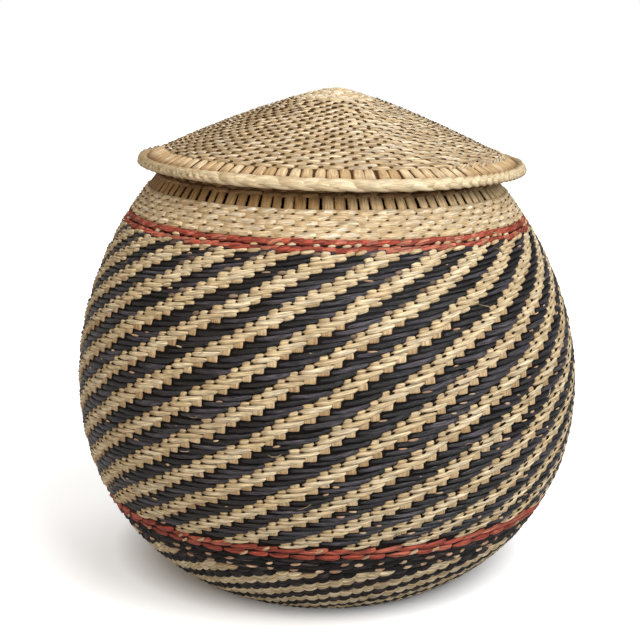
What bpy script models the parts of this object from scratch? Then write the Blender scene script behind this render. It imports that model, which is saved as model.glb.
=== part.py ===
"""Lidded woven basket: a round twined body with coloured bands and a low conical lid.

Metres, +Z up. The origin is the centre of the flat base, on the ground.
The wall is turned from one curve. Each band of weaving is a ring along that curve,
and the places where the stakes show are combs. Bands and combs meet with a seam between them.
"""

import math

import bmesh
import bpy
import numpy as np

# Overall sizes of the body
BELLY_RADIUS = 0.175
BELLY_HEIGHT = 0.147
BASE_RADIUS = 0.076
MOUTH_RADIUS = 0.1036
MOUTH_HEIGHT = 0.3032
WALL = 0.0046

# Shares that bend the wall's curve below and above the belly
FOOT_ROUND_SHARE = 2.3
FOOT_FULL_SHARE = 0.725
SHOULDER_ROUND_SHARE = 1.9
SHOULDER_FULL_SHARE = 0.696

# Bands of the body, measured along the wall: three up from the base, four down from the mouth
FOOT_WIDTH = 0.0894
FLECKED_WIDTH = 0.0145
LOWER_RED_WIDTH = 0.0120
UPPER_RED_WIDTH = 0.0095
NECK_WIDTH = 0.0205
BARE_STAKE_LENGTH = 0.0120
BORDER_WIDTH = 0.0183

# Base
START_RADIUS = 0.020

# Stakes
STAKE_COUNT = 96
STAKE_THICKNESS = 0.0020
STAKE_GAP = 0.0013
STAKE_RAIL = 0.0016

# Lid
LID_OVERHANG = 0.031
LID_SLOPE = math.radians(21.7)
LID_WALL = 0.0040
LID_TIP_DROP = 0.0034
LID_START_RADIUS = 0.028
LID_BARE_STAKE_LENGTH = 0.0095
BRAID_DIAMETER = 0.0080

# How far the finished basket is out of true
MOUTH_DROP = math.radians(1.15)
LID_SHIFT = 0.0035

# Seams between neighbouring bands, and between the lid and the mouth
SEAM = 0.0003
SEAT = 0.0003

# Fineness of the turned shapes
RING_STEPS = 72
BRAID_STEPS = 72
BRAID_SIDES = 8
LINE_STEPS = 600
MERGE = 0.00001
SHARP_EDGE = math.radians(40)

# Colours
STRAW = (0.72, 0.55, 0.32, 1.0)
BLACK = (0.025, 0.022, 0.026, 1.0)
RED = (0.45, 0.075, 0.045, 1.0)
GREY_STRAW = (0.42, 0.33, 0.21, 1.0)
GOLD_STRAW = (0.68, 0.48, 0.26, 1.0)
PALE_STRAW = (0.76, 0.62, 0.40, 1.0)


class Line:
    """A rising curve of (radius, height) points, measured by its length from its lowest point."""

    def __init__(self, radius, height):
        self.radius = np.asarray(radius)
        self.height = np.asarray(height)
        steps = np.hypot(np.diff(self.radius), np.diff(self.height))
        self.run = np.concatenate(([0.0], np.cumsum(steps)))
        self.length = float(self.run[-1])

    def point(self, run, depth=0.0):
        """The point a run along the line, moved depth in from the outer face."""
        radius = np.interp(run, self.run, self.radius)
        height = np.interp(run, self.run, self.height)
        reach = self.length / LINE_STEPS
        ahead = min(run + reach, self.length)
        behind = max(run - reach, 0.0)
        along = np.array([
            np.interp(ahead, self.run, self.radius) - np.interp(behind, self.run, self.radius),
            np.interp(ahead, self.run, self.height) - np.interp(behind, self.run, self.height),
        ])
        along /= np.linalg.norm(along)
        return (float(radius - depth * along[1]), float(height + depth * along[0]))


def wall_radius(height):
    """Outer radius of the wall at a height above the ground."""
    if height <= BELLY_HEIGHT:
        down = (BELLY_HEIGHT - height) / BELLY_HEIGHT
        full = (1 - down ** FOOT_ROUND_SHARE) ** FOOT_FULL_SHARE
        return BASE_RADIUS + (BELLY_RADIUS - BASE_RADIUS) * full
    narrowed = 1 - (MOUTH_RADIUS / BELLY_RADIUS) ** (1 / SHOULDER_FULL_SHARE)
    up = (height - BELLY_HEIGHT) / (MOUTH_HEIGHT - BELLY_HEIGHT)
    return BELLY_RADIUS * (1 - narrowed * up ** SHOULDER_ROUND_SHARE) ** SHOULDER_FULL_SHARE


def wall_line():
    """The wall's outer face, from the edge of the base up to the mouth."""
    heights = MOUTH_HEIGHT * np.linspace(0, 1, LINE_STEPS) ** 2
    return Line([wall_radius(height) for height in heights], heights)


def lid_line():
    """The lid's upper face, from the braid up to the tip, with heights above the mouth."""
    braid_middle = MOUTH_RADIUS + LID_OVERHANG - BRAID_DIAMETER / 2
    end = braid_middle - BRAID_DIAMETER / 2
    rise = math.tan(LID_SLOPE)
    radii = np.linspace(end, 0, LINE_STEPS)
    heights = -np.hypot(LID_TIP_DROP, radii * rise)
    at_seat = -math.hypot(LID_TIP_DROP, MOUTH_RADIUS * rise)
    top_over_seat = SEAT + LID_WALL / math.cos(LID_SLOPE)
    return Line(radii, heights - at_seat + top_over_seat)


def material(name, colour, roughness):
    """A plain woven-fibre material."""
    made = bpy.data.materials.new(name)
    made.use_nodes = True
    shader = made.node_tree.nodes["Principled BSDF"]
    shader.inputs["Base Color"].default_value = colour
    shader.inputs["Roughness"].default_value = roughness
    shader.inputs["Metallic"].default_value = 0.0
    made.diffuse_color = colour
    return made


def add_outline(name, points, closed):
    """An object whose mesh is a row of edges through (radius, height) points."""
    mesh = bpy.data.meshes.new(name)
    verts = [(radius, 0.0, height) for radius, height in points]
    edges = [(i, i + 1) for i in range(len(verts) - 1)]
    if closed:
        edges.append((len(verts) - 1, 0))
    mesh.from_pydata(verts, edges, [])
    outline = bpy.data.objects.new(name, mesh)
    collection.objects.link(outline)
    return outline


def add_turn(outline, steps):
    """A full turn about the vertical axis."""
    turn = outline.modifiers.new("Turn", "SCREW")
    turn.steps = steps
    turn.render_steps = steps
    turn.use_merge_vertices = True
    turn.merge_threshold = MERGE


def add_thickness(piece, thickness):
    """Thickness behind the drawn face, which stays where it is."""
    solid = piece.modifiers.new("Thickness", "SOLIDIFY")
    solid.thickness = thickness
    solid.offset = -1.0
    solid.use_even_offset = True


def bake(piece):
    """Turns the modifiers' result into the object's own mesh."""
    bpy.context.view_layer.update()
    evaluated = piece.evaluated_get(bpy.context.evaluated_depsgraph_get())
    mesh = bpy.data.meshes.new_from_object(evaluated)
    mesh.name = piece.name
    old = piece.data
    piece.modifiers.clear()
    piece.data = mesh
    bpy.data.meshes.remove(old)


def body_drop(x, z):
    """How far a point of the body hangs low on the right: nothing at the base, most at the mouth."""
    return x * math.tan(MOUTH_DROP) * z / MOUTH_HEIGHT


def lid_drop(x, z):
    """The same for the lid, which has slid sideways on the mouth and tips as far as its cone makes it."""
    tip = LID_SHIFT * math.tan(LID_SLOPE) / MOUTH_RADIUS
    return (x + LID_SHIFT) * math.tan(MOUTH_DROP) + x * tip


def finish(piece, drop, look, parent=None):
    """Sets a piece out of true, shades it and gives it its look."""
    bake(piece)
    for vertex in piece.data.vertices:
        vertex.co.z -= drop(vertex.co.x, vertex.co.z)
    piece.data.shade_smooth()
    piece.data.set_sharp_from_angle(angle=SHARP_EDGE)
    piece.data.materials.clear()
    piece.data.materials.append(look)
    piece.parent = parent


def ring(name, line, start, end, spans, thickness):
    """A turned shell along part of a line, thickness deep behind the line's face."""
    runs = np.linspace(end, start, spans + 1)
    face = [line.point(run) for run in runs]
    back = [line.point(run, thickness) for run in runs[::-1]]
    closed = face[0][0] > MERGE
    if not closed:
        back[-1] = (0.0, back[-1][1])
    piece = add_outline(name, face + back, closed)
    add_turn(piece, RING_STEPS)
    return piece


def comb(name, line, rail_run, tip_run, wall):
    """Flat stakes side by side in the middle of a wall, joined by a rail and free at their tips."""
    root_run = rail_run + math.copysign(STAKE_RAIL, tip_run - rail_run)
    depth = (wall - STAKE_THICKNESS) / 2
    rail, root, tip = [line.point(run, depth) for run in (rail_run, root_run, tip_run)]
    points = [rail, root, tip]
    if rail[1] < tip[1]:
        points.reverse()
    piece = add_outline(name, points, False)
    add_turn(piece, 2 * STAKE_COUNT)
    bake(piece)
    open_gaps(piece, root, tip)
    add_thickness(piece, STAKE_THICKNESS)
    return piece


def open_gaps(piece, root, tip):
    """Cuts every second strip between root and tip, and squeezes those strips to the gap's width."""
    half_pitch = math.pi / STAKE_COUNT
    squeeze = (half_pitch - STAKE_GAP / root[0]) / 2
    low, high = sorted((root[1], tip[1]))
    mesh = bmesh.new()
    mesh.from_mesh(piece.data)
    cut = []
    for face in mesh.faces:
        middle = face.calc_center_median()
        strip = math.floor(math.atan2(middle.y, middle.x) / half_pitch)
        if low < middle.z < high and strip % 2:
            cut.append(face)
    bmesh.ops.delete(mesh, geom=cut, context="FACES")
    for vertex in mesh.verts:
        angle = math.atan2(vertex.co.y, vertex.co.x)
        side = -1 if round(angle / half_pitch) % 2 == 0 else 1
        radius = math.hypot(vertex.co.x, vertex.co.y)
        vertex.co.x = radius * math.cos(angle + side * squeeze)
        vertex.co.y = radius * math.sin(angle + side * squeeze)
    mesh.to_mesh(piece.data)
    mesh.free()


def base_start():
    """The flat round patch at the middle of the base."""
    points = [(0.0, WALL), (START_RADIUS, WALL), (START_RADIUS, 0.0), (0.0, 0.0)]
    piece = add_outline("base_start", points, False)
    add_turn(piece, RING_STEPS)
    return piece


def base_weave(line):
    """The flat ring round it, whose edge follows the end of the foot's first rows."""
    inner = START_RADIUS + SEAM
    top_edge = line.point(0.0, WALL)[0] - SEAM
    points = [(inner, WALL), (top_edge, WALL), (BASE_RADIUS - SEAM, 0.0), (inner, 0.0)]
    piece = add_outline("base_weave", points, True)
    add_turn(piece, RING_STEPS)
    return piece


def build_body(looks):
    """The base, the bands of the wall from the foot to the mouth, and the bare stakes at the neck."""
    line = wall_line()
    lower_red_start = FOOT_WIDTH + FLECKED_WIDTH
    striped_start = lower_red_start + LOWER_RED_WIDTH
    border_start = line.length - BORDER_WIDTH
    stakes_start = border_start - BARE_STAKE_LENGTH
    neck_start = stakes_start - NECK_WIDTH
    upper_red_start = neck_start - UPPER_RED_WIDTH

    finish(base_start(), body_drop, looks["straw"])
    finish(base_weave(line), body_drop, looks["black"])

    bands = [
        ("foot_weave", 0.0, FOOT_WIDTH, 9, "straw"),
        ("flecked_band", FOOT_WIDTH, lower_red_start, 2, "black"),
        ("lower_red_band", lower_red_start, striped_start, 1, "red"),
        ("striped_wall", striped_start, upper_red_start, 12, "black"),
        ("upper_red_band", upper_red_start, neck_start, 1, "red"),
        ("neck_weave", neck_start, stakes_start, 2, "straw"),
        ("mouth_border", border_start, line.length, 2, "straw"),
    ]
    for name, start_run, end_run, spans, look in bands:
        band = ring(name, line, start_run + SEAM / 2, end_run - SEAM / 2, spans, WALL)
        finish(band, body_drop, looks[look])

    stakes = comb("neck_stakes", line, stakes_start + SEAM / 2, border_start - SEAM / 2, WALL)
    finish(stakes, body_drop, looks["gold"])


def lid_braid(line):
    """The plait round the lid's edge, its middle in line with the middle of the lid's wall."""
    edge_radius, edge_height = line.point(0.0, LID_WALL / 2)
    reach = BRAID_DIAMETER / 2
    bpy.ops.mesh.primitive_torus_add(
        major_radius=edge_radius + reach * math.cos(LID_SLOPE),
        minor_radius=reach,
        major_segments=BRAID_STEPS,
        minor_segments=BRAID_SIDES,
        location=(0.0, 0.0, edge_height - reach * math.sin(LID_SLOPE)),
    )
    braid = bpy.context.active_object
    braid.name = "lid_braid"
    bpy.ops.object.transform_apply(location=True, rotation=True, scale=True)
    for owner in list(braid.users_collection):
        owner.objects.unlink(braid)
    collection.objects.link(braid)
    return braid


def build_lid(looks):
    """The lid's round start, its weave, the bare stake ends round it and the braid along its edge."""
    axis = bpy.data.objects.new("lid_lift_axis", None)
    axis.location = (LID_SHIFT, 0.0, MOUTH_HEIGHT)
    collection.objects.link(axis)

    line = lid_line()
    weave_start = SEAM + LID_BARE_STAKE_LENGTH + STAKE_RAIL
    weave_end = line.length - LID_START_RADIUS

    stakes = comb("lid_stakes", line, weave_start - SEAM / 2, SEAM, LID_WALL)
    finish(stakes, lid_drop, looks["gold"], axis)
    weave = ring("lid_weave", line, weave_start + SEAM / 2, weave_end - SEAM / 2, 3, LID_WALL)
    finish(weave, lid_drop, looks["grey"], axis)
    start = ring("lid_start", line, weave_end + SEAM / 2, line.length, 3, LID_WALL)
    finish(start, lid_drop, looks["gold"], axis)
    finish(lid_braid(line), lid_drop, looks["pale"], axis)


for old_object in list(bpy.data.objects):
    bpy.data.objects.remove(old_object)

collection = bpy.data.collections.new("lidded_basket")
bpy.context.scene.collection.children.link(collection)

fibre_looks = {
    "straw": material("straw_weft", STRAW, 0.6),
    "black": material("black_weft", BLACK, 0.45),
    "red": material("red_weft", RED, 0.55),
    "grey": material("grey_lid_weft", GREY_STRAW, 0.65),
    "gold": material("bare_stake", GOLD_STRAW, 0.5),
    "pale": material("braid_straw", PALE_STRAW, 0.5),
}
build_body(fibre_looks)
build_lid(fibre_looks)
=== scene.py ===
"""Lidded twined basket. Each stitch of its weave is a modelled straw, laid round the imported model's curves.

Lengths are in metres. On the basket and the lid a place is an angle round the axis, zero at the
front and growing to the right, a run along the wall, and a height out from the wall's face.
"""

import math

import bpy
import numpy as np
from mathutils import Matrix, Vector


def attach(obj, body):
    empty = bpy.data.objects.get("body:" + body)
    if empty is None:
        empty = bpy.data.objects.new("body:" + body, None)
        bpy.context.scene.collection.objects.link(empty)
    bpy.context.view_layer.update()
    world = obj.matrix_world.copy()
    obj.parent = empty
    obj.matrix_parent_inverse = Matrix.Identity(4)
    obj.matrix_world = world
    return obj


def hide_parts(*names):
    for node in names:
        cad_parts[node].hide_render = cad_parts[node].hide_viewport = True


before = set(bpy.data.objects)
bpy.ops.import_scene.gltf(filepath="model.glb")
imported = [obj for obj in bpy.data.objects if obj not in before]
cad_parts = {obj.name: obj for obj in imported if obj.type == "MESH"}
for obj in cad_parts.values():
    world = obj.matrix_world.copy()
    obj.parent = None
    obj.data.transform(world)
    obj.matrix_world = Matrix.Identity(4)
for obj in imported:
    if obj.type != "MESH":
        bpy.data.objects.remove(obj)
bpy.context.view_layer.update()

MM = 0.001
dice = np.random.default_rng(7)

# The wall's outer curve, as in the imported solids
BELLY_RADIUS = 0.175
BELLY_HEIGHT = 0.147
BASE_RADIUS = 0.076
MOUTH_RADIUS = 0.1036
MOUTH_HEIGHT = 0.3032
WALL = 0.0046
# The powers that shape it below and above the belly
FOOT_ROUND, FOOT_FULL = 2.3, 0.725
SHOULDER_ROUND, SHOULDER_FULL = 1.9, 0.696

# Widths of the bands along the wall
BASE_START_RADIUS = 0.02
FOOT_WIDTH = 0.0894
FLECKED_WIDTH = 0.0145
LOWER_RED_WIDTH = 0.012
UPPER_RED_WIDTH = 0.0095
NECK_WIDTH = 0.0205
BARE_STAKE_LENGTH = 0.012
BORDER_WIDTH = 0.0183

# The lid's cone and its edge
LID_OVERHANG = 0.031
LID_SLOPE = math.radians(21.7)
LID_WALL = 0.004
LID_TIP_DROP = 0.0034
LID_WEAVE_RADIUS = 0.1155
LID_START_RADIUS = 0.028
LID_BARE_STAKE_LENGTH = 0.0095
BRAID_DIAMETER = 0.008
SEAT = 0.0003
# How far its straw stands proud of the cone, its tip sits off the middle, and its right side rides up
LID_BULGE = 0.0028
TIP_SHIFT = 0.0034
LID_RAISE = 0.0022

# How far the mouth hangs low on the right, and the lid has slid that way
MOUTH_DROP = math.radians(1.15)
LID_SHIFT = 0.0035

# Rows in each band
BASE_START_ROWS = 6
BASE_ROWS = 15
FOOT_ROWS = 30
FLECKED_ROWS = 4
STRIPED_ROWS = 44
NECK_ROWS = 5
BORDER_ROWS = 4
INSIDE_ROWS = 98
LID_ROWS = 27
LID_START_ROWS = 9
UNDERSIDE_ROWS = 33

# Stakes or stitches in a row
FOOT_STAKES = 108
BELLY_STAKES = 130
NECK_STAKES = 96
LID_STAKES = 97
RED_STITCHES = 64
NECK_STITCHES = 62
INSIDE_STITCHES = 65
BORDER_TOP_STITCHES = 84
# In a row of the lid, for radii above each value
LID_STITCHES = ((0.066, 48), (0.046, 36), (0.034, 26), (0.0, 20))
LOOSE_FIBRES = 60

# Where the stripes start, round from the front
FOOT_PHASE = math.radians(-13.2)
STRIPE_PHASE = math.radians(5.5)
# Striped rows from the top: those packed tight, those with no bare stake, and those until the weave is loosest
TIGHT_ROWS = 16
SHORT_ROWS = 11
LOOSENING_ROWS = 26
# Runs of the two rows of flecks, down from the top of their band
FLECKS_BELOW = (0.0054, 0.0118)

# How far the stakes crowd together and the rows sway between the red bands, and from which angle
STAKE_CROWDING, CROWDING_TURN = 0.025, math.radians(20)
ROW_SWAY, SWAY_TURN = 0.0018, math.radians(7)
# Uneven spacing of the stakes, in radians, and of the rows
STAKE_STRAY = 0.005
ROW_STRAY = 0.0005

# How deep a piece of painted shade lies in the weave, in a hole or nick between two straws
NICK_DEPTH = 0.0009

BRAID_TURNS = 40
BRAID_SWING = 0.0009
BRAID_DEPTH = 0.0016
BRAID_LEAN = math.radians(20)
STRAND_WIDTH = 0.0066
STRAND_THICKNESS = 0.0042
# In front the braid is loose, up to this angle, and then tightens, less on the right
BRAID_LOOSE = math.radians(22)
BRAID_CHANGE = math.radians(28)
RIGHT_TIGHTNESS = 0.6
TIGHT_TURNS = 1.9
# The thin strand inside it: how far in and up it lies, and how wide and high it is
CORE_IN, CORE_UP, CORE_WIDTH, CORE_HEIGHT = 0.0033, 0.0003, 0.0036, 0.003

# How finely curves, shells and the braid are drawn
LINE_STEPS = 900
SHELL_STEPS = 120
SHELL_TURNS = 96
BRAID_STEPS = 720

# What the lamps point at, how bright the room is, the middle of a shadow painted on the floor, and how
# bright the floor glows for the camera at distances from it
BASKET_MIDDLE = (0, 0, 0.16)
ROOM_LIGHT = 0.3
PAINTED_SHADOW_MIDDLE = (-0.0035, 0.057, 0.0)
FLOOR_GLOW = ((0.126, 0.0), (0.142, 0.2), (0.16, 0.43), (0.26, 0.45), (0.6, 1.0))


class Face:
    """A turned face that the weave is laid on: its body, a curve of (radius, height), and how thick it is.

    wander moves a place along its row and up, as the hand does. settle sets the finished thing down.
    """

    def __init__(self, body_name, radius, height, wall, wander, settle):
        self.body_name, self.wall, self.wander, self.settle = body_name, wall, wander, settle
        self.radius, self.height = radius, height
        steps = np.hypot(np.diff(radius), np.diff(height))
        self.run = np.concatenate(([0.0], np.cumsum(steps)))
        self.length = float(self.run[-1])
        along = np.gradient(np.stack((radius, height)), self.run, axis=1)
        along /= np.hypot(*along)
        self.out_radius, self.out_height = along[1], -along[0]

    def radius_at(self, run):
        return np.interp(run, self.run, self.radius)

    def section(self, run, out):
        """Radius and height of places at a run along the face and a height out from it."""
        radius = self.radius_at(run) + out * np.interp(run, self.run, self.out_radius)
        height = np.interp(run, self.run, self.height) + out * np.interp(run, self.run, self.out_height)
        return radius, height

    def place(self, angle, run, out):
        """Points on the finished basket for arrays of angle, run and height out from the face."""
        radius, height = self.section(run, out)
        return self.settle(radius * np.sin(angle), -radius * np.cos(angle), height)


def wall_radius(height):
    """Outer radius of the wall at a height above the ground."""
    if height <= BELLY_HEIGHT:
        down = (BELLY_HEIGHT - height) / BELLY_HEIGHT
        return BASE_RADIUS + (BELLY_RADIUS - BASE_RADIUS) * (1 - down ** FOOT_ROUND) ** FOOT_FULL
    narrowed = 1 - (MOUTH_RADIUS / BELLY_RADIUS) ** (1 / SHOULDER_FULL)
    up = (height - BELLY_HEIGHT) / (MOUTH_HEIGHT - BELLY_HEIGHT)
    return BELLY_RADIUS * (1 - narrowed * up ** SHOULDER_ROUND) ** SHOULDER_FULL


def wander_body(angle, run):
    """Rows stray a little everywhere. Between the red bands they sway too, and the stakes crowd together."""
    share = np.clip((run - stripes_low) / (stripes_high - stripes_low), 0, 1)
    free = np.sin(math.pi * share) ** 2
    along = -STAKE_CROWDING * free * np.sin(2 * (angle + CROWDING_TURN))
    along += STAKE_STRAY * (np.sin(17 * angle + 1) + 0.6 * np.sin(31 * angle + 4 * np.sin(9 * run)))
    return angle + along, run + stray(angle, run) + ROW_SWAY * free * np.sin(4 * (angle - SWAY_TURN))


def wander_lid(angle, run):
    """Rows stray a little up and down."""
    return angle, run + stray(angle, run)


def stray(angle, run):
    """How far up a row strays, in long and short waves that its neighbours share."""
    slow = 0.55 * np.sin(3 * angle + 19 * run) + 0.35 * np.sin(7 * angle - 31 * run + 1.3)
    return ROW_STRAY * (slow + 0.5 * np.sin(19 * angle + 140 * run))


def settle_body(x, y, z):
    """The body hangs low on the right: nothing at the base, most at the mouth."""
    return np.stack((x, y, z - x * math.tan(MOUTH_DROP) * z / MOUTH_HEIGHT), axis=-1)


def settle_lid(x, y, z):
    """The lid has slid sideways on the mouth and tips as far as its cone makes it.

    Its right side rides up a little, and its tip leans to the right.
    """
    edge = MOUTH_RADIUS + LID_OVERHANG
    tipped = x * LID_SHIFT * math.tan(LID_SLOPE) / MOUTH_RADIUS
    drop = (x + LID_SHIFT) * math.tan(MOUTH_DROP) + tipped - LID_RAISE * (x / edge + 1) / 2
    lean = TIP_SHIFT * np.clip(1 - np.hypot(x, y) / edge, 0, 1) ** 2
    return np.stack((x + LID_SHIFT + lean, y, z + MOUTH_HEIGHT - drop), axis=-1)


def body_face():
    """From the middle of the base, over its edge and up to the mouth."""
    heights = MOUTH_HEIGHT * np.linspace(0, 1, LINE_STEPS) ** 2
    wall = [wall_radius(height) for height in heights]
    flat = np.linspace(0, BASE_RADIUS, LINE_STEPS // 4)[:-1]
    return Face("basket", np.concatenate((flat, wall)), np.concatenate((0 * flat, heights)), WALL, wander_body,
                settle_body)


def lid_face():
    """From the braid up to the tip, slightly domed, with heights above the mouth."""
    rise = math.tan(LID_SLOPE)
    radii = np.linspace(MOUTH_RADIUS + LID_OVERHANG - BRAID_DIAMETER, 0, LINE_STEPS)
    heights = LID_BULGE * np.sin(math.pi * radii / radii[0]) - np.hypot(LID_TIP_DROP, radii * rise)
    at_seat = -math.hypot(LID_TIP_DROP, MOUTH_RADIUS * rise)
    return Face("lid", radii, heights - at_seat + SEAT + LID_WALL / math.cos(LID_SLOPE), LID_WALL, wander_lid,
                settle_lid)


body = body_face()
lid = lid_face()

# Runs at which the bands of the body start and end
foot_top = BASE_RADIUS + FOOT_WIDTH
flecked_top = foot_top + FLECKED_WIDTH
stripes_low = flecked_top + LOWER_RED_WIDTH
border_low = body.length - BORDER_WIDTH
neck_top = border_low - BARE_STAKE_LENGTH
neck_low = neck_top - NECK_WIDTH
stripes_high = neck_low - UPPER_RED_WIDTH
# The same on the lid, from its edge up
lid_weave_low, lid_start_low = np.interp((LID_WEAVE_RADIUS, LID_START_RADIUS), lid.radius[::-1], lid.run[::-1])


# Shapes of single straws

def deselect_all():
    for thing in bpy.context.selected_objects:
        thing.select_set(False)


def start_editing():
    bpy.ops.object.mode_set(mode="EDIT")
    bpy.ops.mesh.select_all(action="SELECT")


def stop_editing():
    """Leaves edit mode with all faces turned outward."""
    bpy.ops.mesh.select_all(action="SELECT")
    bpy.ops.mesh.normals_make_consistent(inside=False)
    bpy.ops.object.mode_set(mode="OBJECT")


def straw_shape(rings, sides=8):
    """One straw, modelled from a disc that is extruded ring by ring.

    It is one long, one wide and one deep, its crown at height 0 and its underside at -1.
    A ring is (place along it, width share, crown share), and may end with a sideways share.
    """
    deselect_all()
    rings = [(*ring, 0)[:4] for ring in rings]
    first = rings[0]
    bpy.ops.mesh.primitive_circle_add(vertices=sides, radius=0.5, fill_type="NGON", rotation=(0, math.pi / 2, 0))
    straw = bpy.context.active_object
    bpy.ops.object.transform_apply(location=True, rotation=True, scale=True)
    start_editing()
    bpy.ops.transform.resize(value=(1, first[1], first[2]), center_override=(0, 0, 0))
    bpy.ops.transform.translate(value=(first[0] - 0.5, first[3], first[2] / 2 - 1))
    for last, ring in zip(rings, rings[1:]):
        step = (ring[0] - last[0], ring[3] - last[3], (ring[2] - last[2]) / 2)
        bpy.ops.mesh.extrude_region_move(TRANSFORM_OT_translate={"value": step})
        middle = (ring[0] - 0.5, ring[3], ring[2] / 2 - 1)
        bpy.ops.transform.resize(value=(1, ring[1] / last[1], ring[2] / last[2]), center_override=middle)
    stop_editing()
    return straw


def stake_shape():
    """A piece of a flat split stake with rounded edges, as long, wide and deep as a straw shape."""
    deselect_all()
    bpy.ops.mesh.primitive_cube_add(size=1, location=(0, 0, -0.5))
    stake = bpy.context.active_object
    bpy.ops.object.transform_apply(location=True)
    start_editing()
    bpy.ops.mesh.bevel(offset=0.16, segments=2)
    stop_editing()
    return stake


class Shape:
    """A modelled straw as arrays, ready to be copied and bent along a row."""

    def __init__(self, piece):
        mesh = piece.data
        self.points = np.array([vertex.co for vertex in mesh.vertices])
        self.corners = np.array([loop.vertex_index for loop in mesh.loops])
        self.sizes = np.array([face.loop_total for face in mesh.polygons])
        bpy.data.objects.remove(piece)


def make_shapes():
    """The few kinds of straw that the basket shows."""
    kinds = {
        # Broad where it comes out from under its neighbour, and running out to a point
        "leaf": ((0, 0.46, 0.5), (0.1, 0.82, 0.76), (0.36, 1, 0.96), (0.68, 0.98, 1, 0.02),
                 (0.89, 0.72, 0.88, 0.08), (1, 0.34, 0.58, 0.13)),
        # Low at its left end, full where it goes in again at its right end
        "rope": ((0, 0.5, 0.42), (0.14, 0.8, 0.64), (0.42, 1, 0.9), (0.72, 1, 1),
                 (0.92, 0.8, 0.9), (1, 0.4, 0.6)),
        # Thin at its left end and cut off square at its right end
        "wedge": ((0, 0.3, 0.42), (0.14, 0.66, 0.66), (0.42, 0.94, 0.9), (0.76, 1, 1),
                  (0.94, 0.9, 0.94), (1, 0.62, 0.7)),
        # Blunt, so that only a nick shows between two
        "blunt": ((0, 0.56, 0.46), (0.08, 0.86, 0.72), (0.35, 1, 0.92), (0.7, 1, 1),
                  (0.92, 0.86, 0.9), (1, 0.54, 0.62)),
        # A round scale, for chains of stitches
        "scale": ((0, 0.34, 0.4), (0.15, 0.72, 0.7), (0.4, 0.98, 0.94), (0.66, 1, 1),
                  (0.88, 0.7, 0.84), (1, 0.3, 0.55)),
        # Even at both ends
        "lens": ((0, 0.32, 0.4), (0.14, 0.74, 0.74), (0.46, 1, 1), (0.82, 0.82, 0.82), (1, 0.32, 0.42)),
        # Pinched at its ends, so that a hole opens between two
        "pinched": ((0, 0.2, 0.5), (0.1, 0.42, 0.7), (0.25, 0.88, 0.92), (0.5, 1, 1),
                    (0.75, 0.92, 0.96), (0.9, 0.48, 0.76), (1, 0.22, 0.52)),
        # Even at both ends too, with few faces, for what is tiny or lies inside
        "seed": ((0, 0.4, 0.5), (0.28, 1, 1), (0.72, 0.96, 0.96), (1, 0.4, 0.5)),
        # A flat stake, broader at its top
        "strip": ((0, 0.9, 0.8), (0.3, 0.93, 0.96), (0.7, 0.97, 1), (1, 1, 0.9)),
        # The end of a stake, round where it goes under the weave
        "stub": ((0, 1, 0.86), (0.55, 1, 1), (0.82, 0.97, 0.97), (0.95, 0.8, 0.86), (1, 0.54, 0.66)),
    }
    sides = {"pinched": 7, "seed": 6}
    made = {name: Shape(straw_shape(rings, sides.get(name, 8))) for name, rings in kinds.items()}
    made["block"] = Shape(stake_shape())
    return made


shapes = make_shapes()


# Laying straws

def rows(first, last, count, swell=0.0):
    """(number, run, pitch) of each row from one run to another. With a swell the middle rows are the widest."""
    share = np.linspace(0, 1, count + 1)
    edges = first + (last - first) * (share - swell / math.tau * np.sin(math.tau * share))
    return list(zip(range(count), (edges[:-1] + edges[1:]) / 2, np.abs(np.diff(edges))))


def ring(count, first=0.0):
    """Even angles all round, from the first one on."""
    return first + np.arange(count) * math.tau / count


def stitches(radius, length):
    """How many stitches of about a length go round at a radius, and how wide each is."""
    count = max(3, round(math.tau * radius / length))
    return count, math.tau / count * radius


def jitter(count, spread):
    return spread * (dice.random(count) - 0.5)


def some(places, share):
    """About this share of the places, by the dice."""
    return places[dice.random(len(places)) < share]


class Straws:
    """A growing list of straws for one piece: where each lies, its size, lean and tone."""

    FIELDS = ("angle", "run", "out", "length", "width", "depth", "rise", "bow", "roll", "tone", "upright")

    def __init__(self, shape):
        self.shape = shapes[shape]
        self.rows = {field: [] for field in self.FIELDS}

    def add(self, angle, run, out, length, width, depth, rise=0.0, bow=0.0, roll=0.0, tone=(0.0, 1.0),
            upright=0.0):
        """angle is that of each straw's middle. rise is how far its right end lies above its left one.

        bow lifts its middle, and roll brings its lower edge out. Any of them may be (value, spread), for
        an uneven hand: the spread is the whole width about the value, but for length and width a share of
        it, and for tone it goes up from the value. Most sizes are shares of a stitch's width and a row's pitch.
        """
        values = (angle, run, out, length, width, depth, rise, bow, roll, tone, upright)
        count = len(angle[0] if isinstance(angle, tuple) else angle)
        for field, value in zip(self.FIELDS, values):
            if isinstance(value, tuple):
                value, spread = value
                drawn = spread * (dice.random(count) - (0.0 if field == "tone" else 0.5))
                value = value * (1 + drawn) if field in ("length", "width") else value + drawn
            self.rows[field].append(np.broadcast_to(value, count).astype(float))

    def column(self, field):
        return np.concatenate(self.rows[field])[:, None]


def belongs(piece, body_name, slot_name, *nodes):
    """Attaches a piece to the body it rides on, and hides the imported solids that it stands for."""
    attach(piece, body_name)
    if nodes:
        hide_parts(*nodes)


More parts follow.
